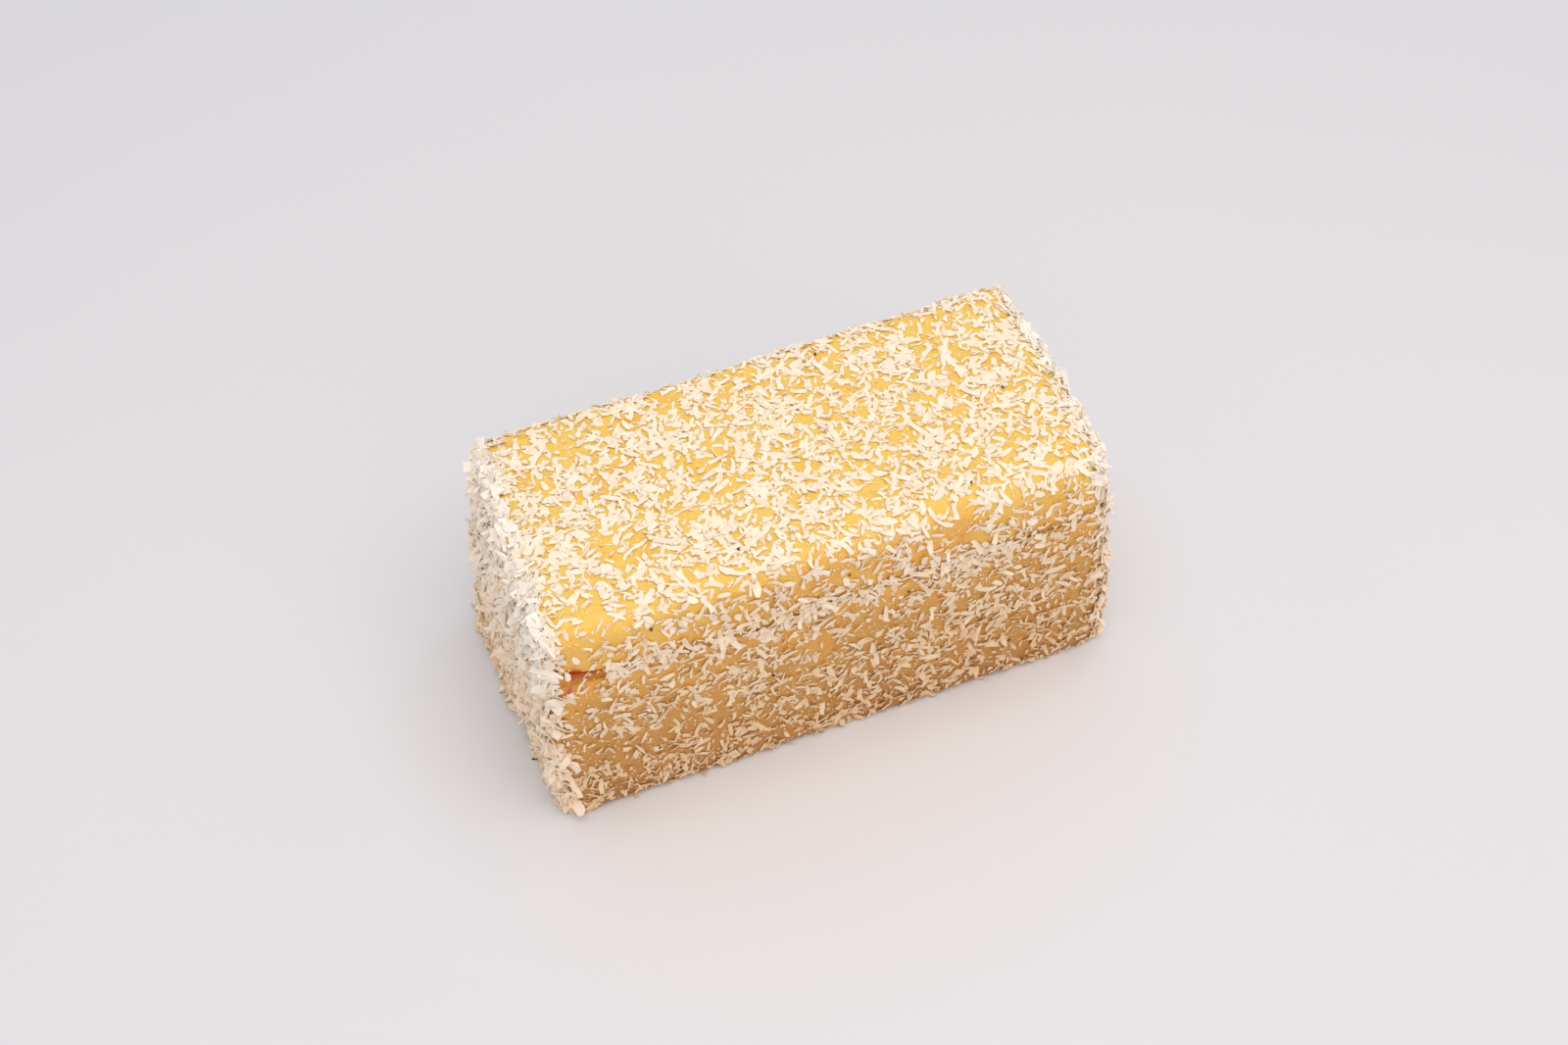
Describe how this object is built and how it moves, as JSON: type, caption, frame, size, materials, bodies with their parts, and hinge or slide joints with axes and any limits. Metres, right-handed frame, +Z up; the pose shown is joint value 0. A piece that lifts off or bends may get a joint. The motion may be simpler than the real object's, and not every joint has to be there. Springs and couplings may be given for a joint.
{
  "type": "coconut sponge cake slice",
  "caption": "Oblong slice of syrup-soaked yellow sponge in two layers with a thin bed of apricot jam between them, coated all round with coconut shreds.",
  "frame": {"origin": "middle of the flat underside, on the surface that the slice rests on", "axes": "+X along the length of the slice, +Z up, -Y the long side with the jam pooled at its low X corner"},
  "size_m": [0.1044, 0.0509, 0.0482],
  "materials": {
    "soaked_sponge": "moist golden sponge crumb soaked with syrup, under white coconut shreds",
    "apricot_jam": "glossy, slightly see-through orange apricot jam",
    "glazed_sponge": "bright yellow sponge crumb wet with syrup, under white coconut shreds"
  },
  "bodies": {
    "root": {"sponge_lower": "soaked_sponge", "jam_filling": "apricot_jam", "sponge_upper": "glazed_sponge"}
  },
  "joints": []
}
